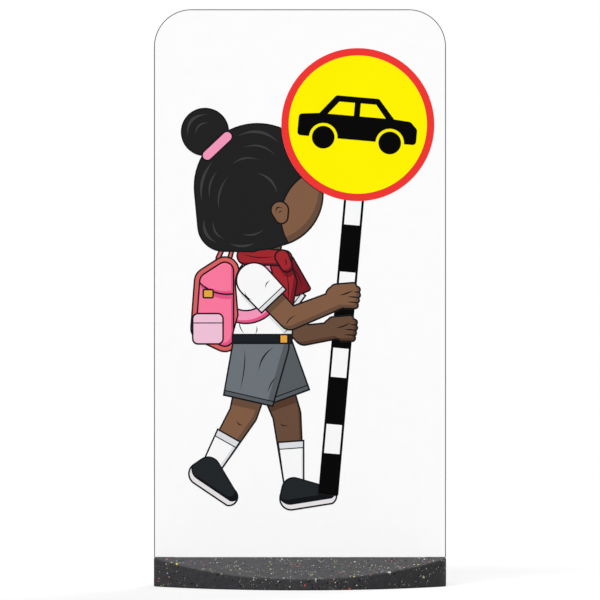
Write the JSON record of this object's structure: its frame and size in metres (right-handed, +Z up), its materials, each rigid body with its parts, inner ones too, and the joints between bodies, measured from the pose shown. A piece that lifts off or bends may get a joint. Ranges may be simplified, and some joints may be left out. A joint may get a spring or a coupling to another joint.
{
  "type": "pavement sign",
  "caption": "Free-standing pavement sign: a flat panel with rounded top corners, printed with a child holding a banded pole and round warning disc, in a heavy lens-shaped base.",
  "frame": {"origin": "centre of the base's underside, on the ground", "axes": "+X to the right as the printed front is seen, the printed front faces -Y, +Z up the panel"},
  "size_m": [0.5, 0.4, 0.988],
  "materials": {
    "base": "matt, with fine coloured flecks",
    "panel": "smooth semi-gloss",
    "locking_screws": "zinc plated",
    "locking_washers": "zinc plated",
    "disc_ring_film": "printed film",
    "disc_face_film": "printed film",
    "car_symbol_film": "printed film",
    "pole_film": "printed film",
    "pole_band_film": "printed film",
    "outline_film": "printed film",
    "skin_film": "printed film",
    "skin_shade_film": "printed film",
    "skin_dark_film": "printed film",
    "hair_film": "printed film",
    "hair_shine_film": "printed film",
    "hair_tie_film": "printed film",
    "shirt_film": "printed film",
    "shirt_shade_film": "printed film",
    "scarf_film": "printed film",
    "scarf_shade_film": "printed film",
    "belt_film": "printed film",
    "buckle_film": "printed film",
    "shorts_film": "printed film",
    "shorts_shade_film": "printed film",
    "sock_film": "printed film",
    "sock_cuff_film": "printed film",
    "shoe_film": "printed film",
    "shoe_shade_film": "printed film",
    "sole_film": "printed film",
    "satchel_edge_film": "printed film",
    "satchel_film": "printed film",
    "satchel_shade_film": "printed film",
    "satchel_pocket_film": "printed film",
    "satchel_strap_film": "printed film"
  },
  "bodies": {
    "root": {"base": "base", "panel": "panel", "locking_screws": "locking_screws", "locking_washers": "locking_washers", "disc_ring_film": "disc_ring_film", "disc_face_film": "disc_face_film", "car_symbol_film": "car_symbol_film", "pole_film": "pole_film", "pole_band_film": "pole_band_film", "outline_film": "outline_film", "skin_film": "skin_film", "skin_shade_film": "skin_shade_film", "skin_dark_film": "skin_dark_film", "hair_film": "hair_film", "hair_shine_film": "hair_shine_film", "hair_tie_film": "hair_tie_film", "shirt_film": "shirt_film", "shirt_shade_film": "shirt_shade_film", "scarf_film": "scarf_film", "scarf_shade_film": "scarf_shade_film", "belt_film": "belt_film", "buckle_film": "buckle_film", "shorts_film": "shorts_film", "shorts_shade_film": "shorts_shade_film", "sock_film": "sock_film", "sock_cuff_film": "sock_cuff_film", "shoe_film": "shoe_film", "shoe_shade_film": "shoe_shade_film", "sole_film": "sole_film", "satchel_edge_film": "satchel_edge_film", "satchel_film": "satchel_film", "satchel_shade_film": "satchel_shade_film", "satchel_pocket_film": "satchel_pocket_film", "satchel_strap_film": "satchel_strap_film"}
  },
  "joints": []
}
